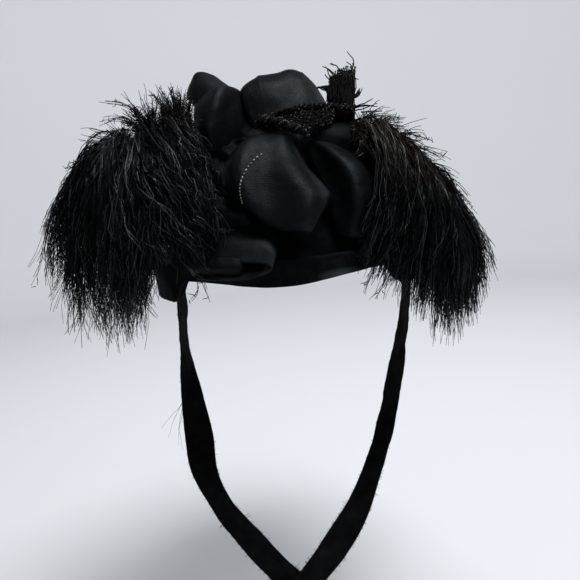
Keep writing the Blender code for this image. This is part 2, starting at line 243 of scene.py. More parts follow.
def blend(p0, p1, p2, p3, s):
    """Catmull-Rom curve from p1 to p2, as s goes from 0 to 1."""
    return 0.5 * (2 * p1 + (p2 - p0) * s + (2 * p0 - 5 * p1 + 4 * p2 - p3) * s ** 2
                  + (3 * p1 - p0 - 3 * p2 + p3) * s ** 3)


def through(points, t):
    """Smooth curve through points: t is an array from 0 to 1, and each point may be an array itself."""
    points = np.asarray(points, float)
    t = np.atleast_1d(t)
    spans = len(points) - 1
    place = np.clip(t, 0.0, 1.0) * spans
    i = np.minimum(place.astype(int), spans - 1)
    s = (place - i).reshape((-1,) + (1,) * (points.ndim - 1))
    ends = np.concatenate([2 * points[:1] - points[1:2], points, 2 * points[-1:] - points[-2:-1]])
    return blend(ends[i], ends[i + 1], ends[i + 2], ends[i + 3], s)


def creased(rows, *places, sharpness=0.14):
    """Rows with a sharper bend at each place: a close row is added on either side of it."""
    rows = [np.asarray(row, float) for row in rows]
    sharp = []
    for i, row in enumerate(rows):
        if i in places:
            sharp += [row + sharpness * (rows[i - 1] - row), row, row + sharpness * (rows[i + 1] - row)]
        else:
            sharp.append(row)
    return np.array(sharp)


def creased_across(rows, *places, sharpness):
    """The same, with the sharper bends running along the ribbon."""
    columns = np.swapaxes(np.asarray(rows, float), 0, 1)
    return np.swapaxes(creased(columns, *places, sharpness=sharpness), 0, 1)


def surface_points(stations, ways, sides):
    """Points of a ribbon's surface at matching places along (ways) and across (sides)."""
    rows = through(stations, ways)
    return np.array([through(row, side)[0] for row, side in zip(rows, sides)])


def finish_piece(name, mesh, slot, nodes, *materials):
    """Make the object of a finished mesh with its materials, hang it from the root body, and hide the frame's
    parts that it replaces.
    """
    piece = bpy.data.objects.new(name, mesh)
    bpy.context.scene.collection.objects.link(piece)
    for material in materials:
        mesh.materials.append(material)
    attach(piece, "root")
    if nodes:
        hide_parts(*nodes)
    return piece


def mesh_of(name, bm):
    """A smooth-shaded mesh in metres from a bmesh in millimetres."""
    bmesh.ops.scale(bm, vec=(MM, MM, MM), verts=bm.verts)
    mesh = bpy.data.meshes.new(name)
    bm.to_mesh(mesh)
    bm.free()
    mesh.shade_smooth()
    return mesh


def grid(along, across, size_mm):
    """A bmesh grid with a map counted in centimetres, and each vertex's place along and across it."""
    bm = bmesh.new()
    chart = bm.loops.layers.uv.new("UVMap")
    bmesh.ops.create_grid(bm, x_segments=across, y_segments=along, size=1.0, calc_uvs=True)
    for face in bm.faces:
        for loop in face.loops:
            u, v = loop[chart].uv
            loop[chart].uv = (u * size_mm[0] / 10, v * size_mm[1] / 10)
    bm.verts.ensure_lookup_table()
    place = np.array([(vertex.co.x, vertex.co.y) for vertex in bm.verts]) * 0.5 + 0.5
    return bm, place[:, 1], place[:, 0]


def wrinkle(bm, depth, scale, seed):
    """Move a cloth's vertices along their normals by a soft noise: depth and scale in millimetres."""
    bm.normal_update()
    shift = Vector((seed * 13.7, seed * 5.1, seed * 9.3))
    moves = [vertex.normal * depth * noise.noise(vertex.co / scale + shift) for vertex in bm.verts]
    for vertex, move in zip(bm.verts, moves):
        vertex.co += move


def add_wall(piece, thickness, offset=0.0):
    """Give a skin its thickness in millimetres: on both sides of it, or inside it with an offset of -1."""
    wall = piece.modifiers.new("wall", "SOLIDIFY")
    wall.thickness = thickness * MM
    wall.offset = offset


def round_edges(piece, width):
    """Roll the edges of a wall to a round of this width in millimetres."""
    bevel = piece.modifiers.new("rolled_edge", "BEVEL")
    bevel.width = width * MM
    bevel.segments = 3
    bevel.limit_method = "ANGLE"
    bevel.angle_limit = math.radians(50)


# The size that each cloth was cut to, width and length in millimetres
CUTS = {
    "satin_loop_left": (33, 105), "satin_loop_top": (46, 108), "satin_loop_front": (44, 112),
    "satin_loop_right": (30, 108), "satin_loop_right_upper": (32, 40), "satin_fold_left": (17, 48),
    "satin_loop_low_left": (18, 92), "satin_tuck_left": (38, 44), "satin_tuck_middle": (32, 72),
    "satin_tuck_right": (38, 58), "satin_tuck_low": (13, 36),
    "velvet_tie_left": (20, 220), "velvet_tie_right": (20, 222),
}


def make_cloth(name, stations, along, across, slot, material, nodes, wall=SATIN_WALL, held="gathered",
               wrinkles=((0.7, 14.0), (0.25, 5.0))):
    """A ribbon through its stations, with wrinkles and a thickness, its map counted from its cut size."""
    width, length = CUTS[name]
    bm, ways, sides = grid(along, across, (width, length))
    rows = through(stations, np.linspace(0, 1, along + 1))
    columns = through(np.swapaxes(rows, 0, 1), np.linspace(0, 1, across + 1))
    i = np.rint(sides * across).astype(int)
    j = np.rint(ways * along).astype(int)
    for vertex, point in zip(bm.verts, columns[i, j]):
        vertex.co = Vector(point)
    for number, (depth, scale) in enumerate(wrinkles):
        wrinkle(bm, depth, scale, number + len(name))
    piece = finish_piece(name, mesh_of(name, bm), slot, nodes, material)
    add_wall(piece, wall)
    return piece


# ---------------------------------------------------------------- crown and brim

def edge_drop(angle):
    """Depth of the lower edge below the origin at an angle in degrees from the front."""
    angle = np.abs(angle)
    dip = 0.5 * (1 + np.cos(np.radians(np.minimum(angle, TEMPLE_ANGLE) * (180.0 / TEMPLE_ANGLE))))
    front = TEMPLE_DROP + (FRONT_DROP - TEMPLE_DROP) * dip
    drop = front + (TAB_DROP - front) * smoothstep(*TAB_ANGLES, angle)
    return drop + (BACK_DROP - TAB_DROP) * smoothstep(*BACK_ANGLES, angle)


def make_crown():
    """Velvet over a stiff form: a squared dome with soft tucks running down from the bow."""
    bm = bmesh.new()
    bmesh.ops.create_uvsphere(bm, u_segments=144, v_segments=64, radius=1.0)
    everything = bm.verts[:] + bm.edges[:] + bm.faces[:]
    bmesh.ops.bisect_plane(bm, geom=everything, plane_co=(0, 0, 0), plane_no=(0, 0, 1), clear_inner=True)
    bmesh.ops.remove_doubles(bm, verts=bm.verts, dist=0.001)
    for vertex in bm.verts:
        x, y, z = vertex.co
        turn = math.atan2(x, -y) if math.hypot(x, y) > 1e-6 else 0.0
        tilt = math.acos(min(max(z, -1.0), 1.0))
        spread = math.sin(tilt) ** (2 / CROWN_SQUARENESS)
        fall = 1 - abs(math.cos(tilt)) ** (2 / CROWN_SQUARENESS)
        depth = float(edge_drop(math.degrees(turn))) - EDGE_REVEAL + CROWN_WALL
        tuck = math.sin(turn * 19 + 2.0 * math.sin(turn * 3))
        tuck *= smoothstep(0.25, 0.6, spread) * (1 - smoothstep(0.8, 1.0, spread))
        vertex.co = Vector(((HEAD_HALF_WIDTH + CROWN_WALL + tuck) * spread * math.sin(turn),
                            -(HEAD_HALF_LENGTH + CROWN_WALL + tuck) * spread * math.cos(turn),
                            CROWN_WALL - depth * fall))
    wrinkle(bm, 0.5, 22.0, 3)
    piece = finish_piece("velvet_crown", mesh_of("velvet_crown", bm), "silk_velvet", ["crown"], VELVET)
    add_wall(piece, CROWN_WALL, -1.0)
    round_edges(piece, 0.9)


def make_brim():
    """The turned-up velvet band, its two edges rolled over a wire."""
    bm, rise, around = grid(10, 220, (BRIM_LENGTH, BRIM_HEIGHT + 2.0))
    angle = (2 * around - 1) * BRIM_END_ANGLE
    turn = np.radians(angle)
    lean = BRIM_LEAN * np.maximum(np.cos(turn), 0.0) * rise
    gap = CROWN_WALL + BRIM_CLEARANCE + 0.5 * BRIM_WALL
    full = smoothstep(BRIM_END_ANGLE, BRIM_END_ANGLE - BRIM_TAPER_ANGLE, np.abs(angle))
    low = -edge_drop(angle) + BRIM_TAPER_LOW * (1 - full)
    high = -edge_drop(0.0) + BRIM_HEIGHT + 1.0 - BRIM_TAPER_HIGH * (1 - full)
    # the upper edge is a little uneven
    high = high + 0.6 * np.sin(turn * 7.0) + 0.4 * np.sin(turn * 17.0 + 1.0)
    x = (HEAD_HALF_WIDTH + gap + lean) * np.sin(turn)
    y = -(HEAD_HALF_LENGTH + gap + lean) * np.cos(turn)
    for vertex, point in zip(bm.verts, zip(x, y, low + (high - low) * rise)):
        vertex.co = Vector(point)
    wrinkle(bm, 0.5, 12.0, 5)
    piece = finish_piece("velvet_brim", mesh_of("velvet_brim", bm), "silk_velvet", ["brim"], VELVET)
    add_wall(piece, BRIM_WALL)
    round_edges(piece, 1.1)


# ---------------------------------------------------------------- satin ribbon loops

# Rows cross each ribbon from edge to edge, and run from root to root.
LOOP_LEFT = [
    [(-44, -60, 22), (-41, -66, 23), (-36, -69, 23), (-28, -65, 23), (-17, -54, 23)],
    [(-45, -60, 35), (-40, -68, 37), (-34, -71, 37), (-24, -64, 37), (-12, -52, 35)],
    [(-45, -59, 45), (-37, -67, 48), (-30, -69, 49), (-22, -61, 49), (-12, -50, 47)],
    [(-44, -57, 51), (-34, -62, 57), (-27, -63, 59), (-21, -57, 58), (-15, -48, 55)],
    [(-45, -53, 51), (-37, -55, 56), (-29, -55, 59), (-23, -51, 59), (-18, -46, 57)],
    [(-49, -48, 58), (-44, -50, 64), (-35, -50, 66), (-27, -48, 63), (-20, -44, 57)],
    [(-47, -43, 66), (-42, -44, 71), (-34, -43, 69), (-27, -42, 63), (-21, -41, 56)],
    [(-46, -37, 61), (-41, -37, 64), (-33, -35, 60), (-27, -35, 54), (-22, -36, 47)],
    [(-42, -33, 40), (-38, -30, 40), (-32, -29, 38), (-26, -30, 35), (-21, -32, 33)],
    [(-35, -38, 9), (-31, -35, 10), (-28, -34, 10), (-24, -35, 10), (-19, -37, 10)],
]
LOOP_TOP = [
    [(-8, -60, 24), (-9, -50, 26), (-9, -40, 22), (-8, -27, 15)],
    [(-10, -62, 32), (-15, -54, 43), (-15, -40, 46), (-12, -24, 34)],
    [(-8, -63, 36), (-17, -56, 54), (-15, -43, 58), (-12, -22, 46)],
    [(-2, -65, 38), (-6, -57, 60), (-6, -45, 65), (-5, -20, 54)],
    [(5, -66, 39.5), (3, -58, 59), (4, -45, 66), (4, -19, 57)],
    [(13, -65, 41), (11, -56, 61), (13, -43, 67), (13, -19, 57)],
    [(21, -63, 43.5), (19, -53, 60), (19, -42, 65), (18, -20, 56)],
    [(27, -58, 43), (27, -47, 52), (26, -38, 57), (25, -22, 49)],
    [(31, -55, 38), (32, -44, 42), (32, -37, 45), (30, -24, 38)],
    [(29, -54, 30), (31, -46, 31), (31, -37, 30), (29, -26, 24)],
    [(24, -54, 22), (27, -46, 22), (27, -38, 19), (26, -28, 13)],
]
LOOP_FRONT = [
    [(-7, -73, 28), (-3, -75, 30), (1, -76, 30), (5, -76, 30), (9, -75, 29), (13, -72, 27)],
    [(-18, -84, 25), (-11, -91, 28), (-2, -90, 27), (6, -90, 26), (12, -86, 22), (15, -80, 17)],
    [(-26, -90, 16), (-17, -103, 19), (-4, -101, 16), (7, -101, 15), (17, -96, 10), (20, -88, 6)],
    [(-28, -94, 6), (-18, -109, 6), (-4, -106, 4), (11, -110, 5), (24, -104, 1), (26, -95, -2)],
    [(-23, -97, -3), (-14, -111, -6), (-2, -110, -8), (15, -116, -5), (27, -110, -6), (29, -101, -7)],
    [(-16, -98, -9), (-9, -107, -14), (1, -110, -18), (13, -117, -17), (20, -113, -17), (23, -105, -14)],
    [(-12, -95, -10), (-5, -101, -18), (3, -104, -21), (11, -108, -22), (15, -108, -23), (18, -102, -20)],
    [(-12, -90, -5), (-5, -92, -9), (1, -93, -11), (8, -94, -12), (13, -94, -13), (16, -93, -12)],
    [(-10, -84, 6), (-4, -85, 6), (1, -86, 6), (6, -86, 5), (11, -86, 5), (14, -85, 4)],
    [(-7, -76, 20), (-3, -77, 21), (1, -78, 21), (5, -78, 20), (9, -78, 20), (11, -77, 19)],
]
LOOP_RIGHT = [
    [(18, -71, 24), (20, -72, 25), (22, -73, 25), (27, -71, 25), (32, -66, 23)],
    [(20, -79, 14), (24, -81, 17), (30, -88, 18), (38, -85, 17), (44, -76, 14)],
    [(25, -86, 2), (30, -89, 4), (38, -98, 7), (46, -93, 7), (51, -82, 4)],
    [(29, -90, -8), (34, -93, -7), (41, -101, -5), (49, -95, -5), (53, -83, -6)],
    [(29, -91, -18), (34, -95, -18), (41, -101, -17), (48, -95, -17), (53, -83, -16)],
    [(30, -89, -25), (33, -93, -26), (38, -97, -27), (45, -92, -27), (51, -81, -25)],
    [(30, -84, -25), (33, -85, -27), (37, -87, -28), (44, -84, -28), (49, -75, -25)],
    [(28, -80, -12), (31, -81, -12), (35, -82, -12), (41, -78, -12), (47, -71, -12)],
    [(24, -76, 4), (27, -77, 5), (31, -78, 5), (36, -75, 5), (42, -69, 5)],
    [(20, -70, 17), (23, -71, 18), (25, -71, 18), (29, -69, 18), (33, -65, 17)],
]
LOOP_RIGHT_UPPER = [
    [(21, -76, 22), (23, -74, 29), (24, -68, 33), (24, -58, 33)],
    [(30, -78, 20), (31, -76, 28), (33, -69, 34), (33, -56, 35)],
    [(39, -76, 17), (41, -74, 25), (42, -67, 32), (42, -54, 33)],
    [(47, -71, 14), (50, -69, 20), (51, -62, 27), (49, -52, 28)],
    [(52, -64, 11), (55, -61, 16), (55, -56, 20), (52, -49, 20)],
]
FOLD_LEFT = [
    [(-17, -88, -6), (-17, -91, -12), (-16, -89, -18)],
    [(-28, -90, -3), (-28, -94, -10), (-28, -92, -18)],
    [(-39, -86, 0), (-40, -90, -8), (-40, -89, -17)],
    [(-44, -80, 2), (-46, -83, -7), (-46, -82, -15)],
    [(-42, -75, 1), (-43, -77, -7), (-43, -78, -14)],
    [(-30, -78, -2), (-30, -81, -9), (-30, -83, -15)],
]
LOOP_LOW_LEFT = [
    [(-46, -102, -33.5), (-45, -95, -23), (-44, -87, -18)],
    [(-34, -109, -35), (-33, -101, -23), (-31, -90, -19)],
    [(-21, -113, -35.5), (-19, -106, -24), (-17, -96, -21)],
    [(-9, -115, -37), (-6, -110, -28), (-5, -103, -26)],
    [(-5, -117, -39.5), (-3, -113, -35), (-2, -108, -33)],
    [(-9, -118, -42), (-9, -113, -40), (-9, -108, -37)],
    [(-21, -115, -44), (-21, -110, -40), (-21, -104, -34.5)],
    [(-34, -110, -44), (-34, -106, -39), (-34, -101, -33)],
    [(-46, -103, -43), (-46, -99, -38), (-45, -94, -32)],
]
# Gathered ribbon that fills the gaps between the loops, where shade lies; the left, middle and right tucks
# take the satin dulled as painted shade
TUCK_LEFT = [
    [(-52, -58, -12), (-52, -60, 8), (-48, -58, 24)],
    [(-43, -72, -12), (-42, -71, 8), (-39, -64, 28)],
    [(-34, -76, -10), (-32, -73, 8), (-30, -64, 30)],
    [(-24, -78, -8), (-22, -76, 9), (-20, -64, 30)],
    [(-14, -80, -6), (-12, -78, 9), (-11, -68, 29)],
]
TUCK_MIDDLE = [
    [(-20, -66, 18), (-22, -60, 30), (-20, -52, 44)],
    [(-12, -69, 18), (-13, -64, 30), (-13, -56, 42)],
    [(-2, -70, 20), (-2, -63, 30), (-3, -56, 42)],
    [(10, -69, 18), (10, -60, 33), (10, -53, 49)],
    [(20, -68, 14), (22, -58, 33), (22, -49, 49)],
    [(32, -66, 10), (34, -58, 28), (36, -52, 44)],
    [(46, -62, 6), (48, -57, 24), (47, -52, 40)],
]
TUCK_RIGHT = [
    [(10, -78, 20), (11, -80, 4), (12, -84, -10)],
    [(20, -70, 24), (21, -72, 4), (22, -76, -12)],
    [(32, -64, 22), (33, -68, 2), (33, -71, -14)],
    [(46, -60, 20), (47, -64, 0), (47, -67, -16)],
    [(60, -56, 22), (62, -60, 0), (62, -62, -18)],
]
TUCK_LOW = [
    [(-51, -97, -31), (-50, -100, -36), (-49, -97, -42)],
    [(-41, -104, -31.5), (-41, -107, -36.5), (-40, -104, -42)],
    [(-31, -109, -32), (-30, -112, -37.5), (-30, -109, -42.5)],
    [(-23, -112, -33), (-22, -114, -38), (-22, -112, -42)],
    [(-19, -109, -34), (-18, -110, -38), (-19, -108, -41)],
]


def make_loops():
    """The loops and tucks of the bow.  Each is a grid of this many faces along and across its ribbon."""
    satin = ("satin_ribbon", SATIN)
    # ribbon that lies in shadow under the trim and in the gaps takes the satin dulled as painted shade
    shaded = ("satin_ribbon", SHADED_SATIN)
    folds = ((3.0, 9.0), (0.4, 4.0))
    make_cloth("satin_loop_left", creased(LOOP_LEFT, 4), 110, 34, *satin, ["loop_left"])
    make_cloth("satin_loop_top", creased(LOOP_TOP, 3, 6), 110, 30, *satin, ["loop_top"])
    front = creased_across(LOOP_FRONT, 4, sharpness=0.3)
    make_cloth("satin_loop_front", front, 110, 44, *satin, ["loop_front"])
    make_cloth("satin_loop_right", LOOP_RIGHT, 100, 34, *satin, ["loop_right"])
    make_cloth("satin_loop_right_upper", LOOP_RIGHT_UPPER, 60, 30, *shaded, ["loop_right_upper"])
    make_cloth("satin_fold_left", creased(FOLD_LEFT, 3), 60, 22, *satin, ["fold_left"])
    make_cloth("satin_loop_low_left", LOOP_LOW_LEFT, 84, 22, *satin, ["loop_low_left"])
    make_cloth("satin_tuck_left", TUCK_LEFT, 50, 30, *shaded, [], wrinkles=folds)
    make_cloth("satin_tuck_middle", TUCK_MIDDLE, 70, 30, *shaded, [], wrinkles=folds)
    make_cloth("satin_tuck_right", TUCK_RIGHT, 50, 40, *shaded, [], wrinkles=folds)
    make_cloth("satin_tuck_low", TUCK_LOW, 40, 14, *satin, [], wrinkles=((0.3, 6.0),))


# Rings of the gathered middle from top to bottom: height, centre x and y, half width and half depth
BOW_CENTRE = [
    (19, 4, -58, 0, 0),
    (17, 4, -58, 12, 6),
    (10, 4, -57, 26, 13),
    (0, 4, -54, 33, 16),
    (-9, 4, -50, 35, 18),
    (-14, 4, -50, 0, 0),
]
GATHERS, GATHER_DEPTH = 26, 0.06


def make_bow_centre():
    """The satin gathered tight where the loops are sewn down."""
    bm = bmesh.new()
    bm.loops.layers.uv.new("UVMap")
    bmesh.ops.create_uvsphere(bm, u_segments=120, v_segments=40, radius=1.0, calc_uvs=True)
    turn = np.array([math.atan2(v.co.y, v.co.x) for v in bm.verts])
    down = np.array([math.acos(min(max(v.co.z, -1.0), 1.0)) / math.pi for v in bm.verts])
    ring = through(BOW_CENTRE, down)
    gather = 1 + GATHER_DEPTH * np.sin(turn * GATHERS) * np.sin(np.pi * down)
    open_ring = (down > 1e-4) & (down < 1 - 1e-4)
    wide = np.where(open_ring, np.maximum(ring[:, 3], 0.5), 0.0) * gather
    deep = np.where(open_ring, np.maximum(ring[:, 4], 0.5), 0.0) * gather
    points = np.stack([ring[:, 1] + wide * np.cos(turn), ring[:, 2] + deep * np.sin(turn), ring[:, 0]], 1)
    for vertex, point in zip(bm.verts, points):
        vertex.co = Vector(point)
    finish_piece("satin_bow_centre", mesh_of("satin_bow_centre", bm), "satin_ribbon", ["bow_centre"], SATIN)


STITCHES = 16


def make_stitches():
    """The row of old pale stitches on the front loop."""
    t = np.linspace(0, 1, STITCHES)
    ways = 0.205 + 0.245 * t
    sides = 0.37 - 0.24 * t ** 0.8
    points = surface_points(LOOP_FRONT, ways, sides)
    bm = bmesh.new()
    rng = np.random.default_rng(SEED)
    for i, point in enumerate(points):
        ahead = points[min(i + 1, STITCHES - 1)] - points[max(i - 1, 0)]
        aim = Vector(ahead).to_track_quat("X", "Z").to_matrix().to_4x4()
        size = Matrix.Diagonal((0.75, 0.36, 0.36, 1.0))
        out = Vector((-0.3, -0.9, 0.2)) * 0.75
        bmesh.ops.create_icosphere(bm, subdivisions=1, radius=float(rng.uniform(0.6, 1.25)),
                                   matrix=Matrix.Translation(Vector(point) + out) @ aim @ size)
    finish_piece("stitches", mesh_of("stitches", bm), "satin_ribbon", [], THREAD)


# ---------------------------------------------------------------- threads, beads and barbs

def make_section(sides):
    """The cross-section that strands are swept along: a small polygon of radius one millimetre."""
    curve = bpy.data.curves.new("strand_section", "CURVE")
    spline = curve.splines.new("POLY")
    spline.points.add(sides - 1)
    spline.use_cyclic_u = True
    for i, point in enumerate(spline.points):
        turn = -math.tau * i / sides
        point.co = (MM * math.cos(turn), MM * math.sin(turn), 0.0, 1.0)
    section = bpy.data.objects.new("strand_section", curve)
    bpy.context.scene.collection.objects.link(section)
    return section


def strand_mesh(name, routes, radii, sides=3, materials=(), picks=()):
    """Sweep every route (strands, points, xyz) in millimetres into one mesh; radii match the points."""
    section = make_section(sides)
    curve = bpy.data.curves.new(name, "CURVE")
    curve.dimensions = "3D"
    curve.bevel_mode = "OBJECT"
    curve.bevel_object = section
    curve.use_fill_caps = True
    routes = np.asarray(routes, float) * MM
    steps = routes.shape[1]
    homogeneous = np.concatenate([routes, np.ones(routes.shape[:2] + (1,))], 2)
    for material in materials:
        curve.materials.append(material)
    picks = picks if len(picks) else np.zeros(len(routes), int)
    for route, radius, pick in zip(homogeneous, np.broadcast_to(radii, routes.shape[:2]), picks):
        spline = curve.splines.new("POLY")
        spline.material_index = int(pick)
        spline.points.add(steps - 1)
        spline.points.foreach_set("co", route.ravel())
        spline.points.foreach_set("radius", np.ascontiguousarray(radius))
    carrier = bpy.data.objects.new(name, curve)
    bpy.context.scene.collection.objects.link(carrier)
    bpy.context.view_layer.update()
    evaluated = carrier.evaluated_get(bpy.context.evaluated_depsgraph_get())
    mesh = bpy.data.meshes.new_from_object(evaluated)
    mesh.name = name
    for item in (carrier, section):
        bpy.data.objects.remove(item, do_unlink=True)
    bm = bmesh.new()
    bm.from_mesh(mesh)
    bmesh.ops.remove_doubles(bm, verts=bm.verts, dist=1e-7)
    bmesh.ops.recalc_face_normals(bm, faces=bm.faces)
    bm.to_mesh(mesh)
    bm.free()
    mesh.shade_smooth()
    return mesh


def beads_into(bm, points, radius, rng, stretch=1.0):
    """Add a bead at each point, slightly uneven in size and turned at random."""
    for point in points:
        size = radius * float(rng.uniform(0.8, 1.15))
        turn = Euler(rng.uniform(0, math.tau, 3)).to_matrix().to_4x4()
        shape = Matrix.Diagonal((size * stretch, size, size, 1.0))
        bmesh.ops.create_icosphere(bm, subdivisions=1, radius=1.0,
                                   matrix=Matrix.Translation(Vector(point)) @ turn @ shape)


WISP_STEPS = 9


def unsteady(wisps, shake, rng):
    """A thread through the points of each wisp, with a shake in millimetres that adds up along it."""
    run = np.linspace(0, 1, WISP_STEPS)
    return [through(wisp, run) + np.cumsum(rng.normal(0, shake, (WISP_STEPS, 3)), 0) for wisp in wisps]


JET_BRAID_UPPER = [(-1, -77, 39), (9, -79, 41), (20, -78, 42.5), (34, -72, 42), (46, -65, 41)]
JET_BRAID_LOWER = [(-7, -79, 38), (1, -84, 36), (10, -87, 32), (19, -85, 28)]
STRINGS_A_BRAID = 3
BRAID_PITCH = 8.5
BEADED_SHARE = 0.55
BRAID_CORD_STEPS = 60


def helix(route, radius, pitch, phase, count):
    """A helix of the given radius round a route."""
    centre = through(route, np.linspace(0, 1, count))
    step = np.gradient(centre, axis=0)
    length = np.concatenate([[0], np.cumsum(np.linalg.norm(np.diff(centre, axis=0), axis=1))])
    ahead = step / np.linalg.norm(step, axis=1, keepdims=True)
    side = np.cross(ahead, (0, 0, 1.0))
    side /= np.linalg.norm(side, axis=1, keepdims=True)
    up = np.cross(side, ahead)
    turn = (math.tau * length / pitch + phase)[:, None]
    return centre + radius * (np.cos(turn) * side + np.sin(turn) * up)


def make_braid(name, node, route, radius, count):
    """Strings of beads twisted round each other, with a cord between each two."""
    rng = np.random.default_rng(SEED + len(name))
    bm = bmesh.new()
    cords = []
    for k in range(STRINGS_A_BRAID):
        string = helix(route, radius * 0.6, BRAID_PITCH, math.tau * k / STRINGS_A_BRAID, count)
        beads = string[rng.uniform(0, 1, count) < BEADED_SHARE] + rng.normal(0, 0.6, 3)
        beads_into(bm, beads, radius * 0.28, rng, 1.4)
    finish_piece(name, mesh_of(name, bm), "jet_beads", [node], BEAD)
    for k in range(STRINGS_A_BRAID):
        phase = math.tau * (k + 0.5) / STRINGS_A_BRAID
        cord = helix(route, radius * 0.5, BRAID_PITCH, phase, BRAID_CORD_STEPS)
        cords.append(cord + rng.normal(0, 0.25, (BRAID_CORD_STEPS, 3)))
    mesh = strand_mesh(name + "_cord", cords, radius * 0.34, sides=6)
    finish_piece(name + "_cord", mesh, "jet_lace", [], LACE)


# Rows of the net run from the upper braid to the lower, and follow each other to the right.
LACE_NET = [
    [(4, -81, 38), (11, -84.5, 34.5), (17, -85, 31)],
    [(15, -80.5, 40), (19, -82, 36), (24, -80, 31)],
    [(24, -78, 40), (26, -79, 36), (27, -78, 32)],
    [(34, -73, 40), (34, -74, 37), (32, -75, 33)],
]
NET_THREADS, NET_STEPS, NET_SLOPE = 18, 12, 0.55


def make_lace():
    """The beaded net between the braids: threads that lean right and left, with beads on half their knots."""
    rng = np.random.default_rng(SEED + 21)
    routes, beads = [], []
    t = np.linspace(0, 1, NET_STEPS)
    for k in range(NET_THREADS):
        start = -0.5 + 1.5 * k / (NET_THREADS - 1)
        for begin, slope in ((0.0, NET_SLOPE), (NET_SLOPE, -NET_SLOPE)):
            ways = np.clip(start + begin + slope * t, 0, 1)
            points = surface_points(LACE_NET, ways, t) + rng.normal(0, 0.25, (NET_STEPS, 3))
            routes.append(points)
            beads.extend(points[1::2][rng.uniform(0, 1, NET_STEPS // 2) < 0.5])
    mesh = strand_mesh("lace_net", routes, 0.3, sides=4)
    finish_piece("lace_net", mesh, "jet_lace", ["jet_lace"], LACE)
    bm = bmesh.new()
    beads_into(bm, beads, 0.62, rng)
    # a small ring of beads under the lower braid
    turns = np.linspace(0, math.tau, 9)[:-1]
    ring = [(3 + 1.6 * math.cos(turn), -89.5, 25.5 + 1.6 * math.sin(turn)) for turn in turns]
    beads_into(bm, ring, 0.6, rng)
    finish_piece("lace_beads", mesh_of("lace_beads", bm), "jet_beads", [], BEAD)


# Rows cross the tuft from its left side to its right side, and rise from its root to its tips.
AIGRETTE = [
    [(34, -63, 34), (38, -63, 34), (42, -61, 34), (46, -58, 33)],
    [(32, -66, 43), (36, -66, 43), (41, -66, 43), (46, -63, 42)],
    [(33, -65, 49), (37, -65, 49), (42, -63, 49), (46, -60, 48)],
    [(34, -62, 54), (38, -62, 54), (43, -60, 54), (47, -57, 54)],
    [(36, -59, 58), (39, -59, 59), (43, -57, 59), (47, -55, 59)],
    [(38, -58, 60), (41, -57, 61), (44, -56, 62), (47, -54, 63)],
]
# Single threads that stand out of the tuft: root, middle and tip
AIGRETTE_WISPS = [
    [(38, -58, 59), (35, -58, 62.5), (31, -58, 65)],
    [(38, -58, 60), (36, -58, 62), (32, -58, 65)],
    [(41, -57, 60), (38, -57, 65), (34, -57, 67)],
    [(41, -57, 61), (39, -57, 65), (36, -57, 67)],
    [(36, -59, 58), (34, -59, 61), (34, -59, 64)],
    [(35, -59, 57), (32, -59, 60), (31, -59, 61)],
    [(46, -55, 60), (49, -55, 67), (45, -55, 73)],
    [(46, -55, 61), (47.5, -55, 65), (44.5, -55, 68)],
    [(46, -54, 61), (48, -54, 64), (48.5, -54, 67)],
    [(46, -56, 59), (48, -56, 58.5), (51, -56, 57)],
    [(44, -64, 41), (52, -64, 43), (57, -63, 45)],
    [(44, -64, 40.5), (52, -64, 42), (58, -63, 41)],
    [(44, -64, 40), (52, -64, 41.3), (60, -63, 40)],
    [(44, -64, 39), (53, -63, 40), (60, -62, 42)],
    [(50, -64, 38), (57, -62, 38), (62, -61, 38)],
]
AIGRETTE_KNOB = [(44, -62, 47), (48, -61, 47.5), (50, -60, 49), (50.5, -60, 50.5)]
AIGRETTE_THREADS, AIGRETTE_CROSS_THREADS, AIGRETTE_STEPS = 330, 26, 10
AIGRETTE_BEADS = 240
SPIKE_THREADS, KNOB_THREADS = 18, 9


def make_aigrette():
    """A standing tuft of frayed beaded lace: upright threads on a strip of net, with bead tips."""
    rng = np.random.default_rng(SEED + 5)
    routes, tips = [], []
    steps = AIGRETTE_STEPS
    for _ in range(AIGRETTE_THREADS):
        side = rng.uniform(0, 1)
        reach = 0.62 + 0.14 * side + 0.34 * rng.uniform(0, 1) ** 1.6
        ways = np.clip(np.linspace(rng.uniform(-0.1, 0.4), reach, steps), 0, 1)
        drift = side + np.linspace(0, rng.normal(0, 0.05), steps)
        points = surface_points(AIGRETTE, ways, np.clip(drift, 0, 1))
        points += np.cumsum(rng.normal(0, 0.5, (steps, 3)), 0) + rng.normal(0, 0.6, 3) * (0.5, 2.2, 0.3)
        points[:, 2] -= rng.uniform(0, 3) * np.linspace(1, 0, steps)
        routes.append(points)
        tips.append(points[-1])
    for k in range(AIGRETTE_CROSS_THREADS):
        way = np.full(steps, k / (AIGRETTE_CROSS_THREADS + 2))
        points = surface_points(AIGRETTE, way, np.linspace(0, 1, steps))
        routes.append(points + rng.normal(0, 0.3, (steps, 3)))
    mesh = strand_mesh("aigrette_threads", routes, np.linspace(0.36, 0.2, steps), sides=3)
    finish_piece("aigrette_threads", mesh, "jet_lace", ["aigrette"], LACE)
    # a pointed fold of the net on the left, filled with threads from its root to its upper edge
    spike = [[(35, -63, 48 + 6 * k), (33 - 2 * k, -63, 50 + 4 * k), (31 - 5 * k, -62, 53 + k)]
             for k in np.linspace(0, 1, SPIKE_THREADS)]
    # and a short knob of threads on the right
    knob = [AIGRETTE_KNOB + rng.normal(0, 0.4, 3) for _ in range(KNOB_THREADS)]
    wisps = unsteady(AIGRETTE_WISPS + spike + knob, 0.15, rng)
    mesh = strand_mesh("aigrette_wisps", wisps, np.linspace(0.42, 0.22, WISP_STEPS), sides=4)
    finish_piece("aigrette_wisps", mesh, "jet_lace", [], LACE)
    bm = bmesh.new()
    beads_into(bm, tips[:AIGRETTE_BEADS], 0.5, rng)
    finish_piece("aigrette_beads", mesh_of("aigrette_beads", bm), "jet_beads", [], BEAD)


# ---------------------------------------------------------------- ostrich plumes

